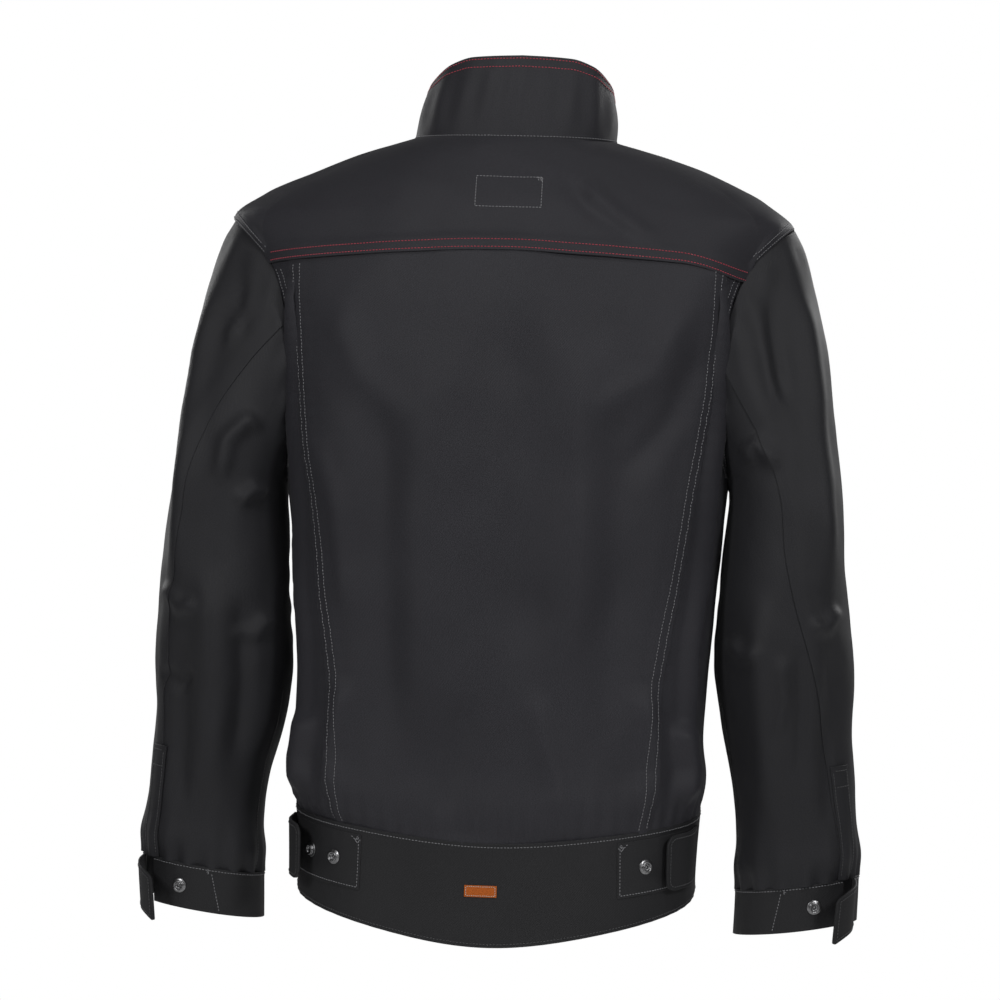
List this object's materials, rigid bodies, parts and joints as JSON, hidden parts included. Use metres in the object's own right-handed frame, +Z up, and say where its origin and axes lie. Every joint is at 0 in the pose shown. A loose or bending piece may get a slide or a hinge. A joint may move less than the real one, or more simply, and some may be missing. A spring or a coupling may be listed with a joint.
{
  "type": "welding jacket",
  "caption": "Waist-length welding jacket in dark twill cloth, standing collar, back yoke, panelled back, long sleeves with snap cuffs, front zip and snap waist tabs.",
  "frame": {"origin": "centre of the neck opening at the height of the nape seam", "axes": "+Z up towards the collar, the wearer's front faces -Y, the wearer's left is +X"},
  "size_m": [0.6406, 0.263, 0.7732],
  "materials": {
    "cloth_body": "matte",
    "cloth_sleeve": "matte",
    "cloth_trim": "matte",
    "collar_facing": "matte",
    "label_orange": "satin",
    "label_inner": "matte",
    "loop_tape": "matte",
    "zip_tape": "matte",
    "zip_metal": "satin",
    "snap_metal": "satin"
  },
  "bodies": {
    "jacket_body": {"back_yoke": "cloth_body", "centre_back_panel": "cloth_body", "waistband_back": "cloth_trim", "collar_outer": "cloth_trim", "collar_facing": "collar_facing", "hem_label": "label_orange", "inner_label": "label_inner", "hanging_loop": "loop_tape", "waist_studs": "snap_metal", "pocket_studs": "snap_metal", "zip_teeth_left": "zip_metal", "zip_teeth_right": "zip_metal", "zip_tape_left": "zip_tape", "zip_tape_right": "zip_tape", "zip_stop": "zip_metal", "front_yoke_left": "cloth_body", "side_back_panel_left": "cloth_body", "front_panel_left": "cloth_body", "waistband_front_left": "cloth_trim", "tab_patch_left": "cloth_trim", "chest_pocket_left": "cloth_body", "pocket_flap_root_left": "cloth_trim", "side_pocket_welt_left": "cloth_trim", "upper_sleeve_outer_left": "cloth_sleeve", "upper_sleeve_under_left": "cloth_sleeve", "front_yoke_right": "cloth_body", "side_back_panel_right": "cloth_body", "front_panel_right": "cloth_body", "waistband_front_right": "cloth_trim", "tab_patch_right": "cloth_trim", "chest_pocket_right": "cloth_body", "pocket_flap_root_right": "cloth_trim", "side_pocket_welt_right": "cloth_trim", "upper_sleeve_outer_right": "cloth_sleeve", "upper_sleeve_under_right": "cloth_sleeve"},
    "forearm_left": {"lower_sleeve_outer_left": "cloth_sleeve", "lower_sleeve_under_left": "cloth_sleeve", "cuff_left": "cloth_trim", "sleeve_placket_left": "cloth_sleeve", "cuff_stud_left": "snap_metal"},
    "cuff_end_left": {"cuff_flap_left": "cloth_trim", "cuff_snap_left": "snap_metal"},
    "waist_end_left": {"waist_tab_left": "cloth_trim", "waist_snap_left": "snap_metal"},
    "pocket_cover_left": {"pocket_flap_left": "cloth_trim", "pocket_snap_left": "snap_metal"},
    "forearm_right": {"lower_sleeve_outer_right": "cloth_sleeve", "lower_sleeve_under_right": "cloth_sleeve", "cuff_right": "cloth_trim", "sleeve_placket_right": "cloth_sleeve", "cuff_stud_right": "snap_metal"},
    "cuff_end_right": {"cuff_flap_right": "cloth_trim", "cuff_snap_right": "snap_metal"},
    "waist_end_right": {"waist_tab_right": "cloth_trim", "waist_snap_right": "snap_metal"},
    "pocket_cover_right": {"pocket_flap_right": "cloth_trim", "pocket_snap_right": "snap_metal"},
    "slider": {"zip_slider": "zip_metal"},
    "pull": {"zip_pull": "zip_metal"}
  },
  "joints": [
    {"name": "elbow_left", "type": "hinge", "parent": "jacket_body", "child": "forearm_left", "pos_m": [0.249, -0.04, -0.415], "axis": [-1, 0, 0], "range_deg": [0, 55]},
    {"name": "elbow_right", "type": "hinge", "parent": "jacket_body", "child": "forearm_right", "pos_m": [-0.249, -0.04, -0.415], "axis": [-1, 0, 0], "range_deg": [0, 55]},
    {"name": "cuff_end_left_swing", "type": "hinge", "parent": "forearm_left", "child": "cuff_end_left", "pos_m": [0.31433, 0.00356, -0.66081], "axis": [0, 0, -1], "range_deg": [-35, 50]},
    {"name": "cuff_end_right_swing", "type": "hinge", "parent": "forearm_right", "child": "cuff_end_right", "pos_m": [-0.31433, 0.00356, -0.66081], "axis": [0, 0, 1], "range_deg": [-33, 52]},
    {"name": "waist_end_left_swing", "type": "hinge", "parent": "jacket_body", "child": "waist_end_left", "pos_m": [0.17549, 0.03104, -0.62067], "axis": [0, 0, -1], "range_deg": [-13, 64]},
    {"name": "waist_end_right_swing", "type": "hinge", "parent": "jacket_body", "child": "waist_end_right", "pos_m": [-0.17549, 0.03104, -0.62067], "axis": [0, 0, 1], "range_deg": [0, 78]},
    {"name": "pocket_flap_left_lift", "type": "hinge", "parent": "jacket_body", "child": "pocket_cover_left", "pos_m": [0.0929, -0.09351, -0.16671], "axis": [-0.9831, -0.1833, 0], "range_deg": [0, 120]},
    {"name": "pocket_flap_right_lift", "type": "hinge", "parent": "jacket_body", "child": "pocket_cover_right", "pos_m": [-0.0929, -0.09351, -0.16671], "axis": [-0.9831, 0.1833, 0], "range_deg": [0, 120]},
    {"name": "zip_slide", "type": "slide", "parent": "jacket_body", "child": "slider", "axis": [0, -0.0711, -0.9975], "range_m": [0, 0.525]},
    {"name": "zip_pull_swing", "type": "hinge", "parent": "slider", "child": "pull", "pos_m": [0, -0.09148, -0.08584], "axis": [-1, 0, 0], "range_deg": [0, 115]}
  ]
}
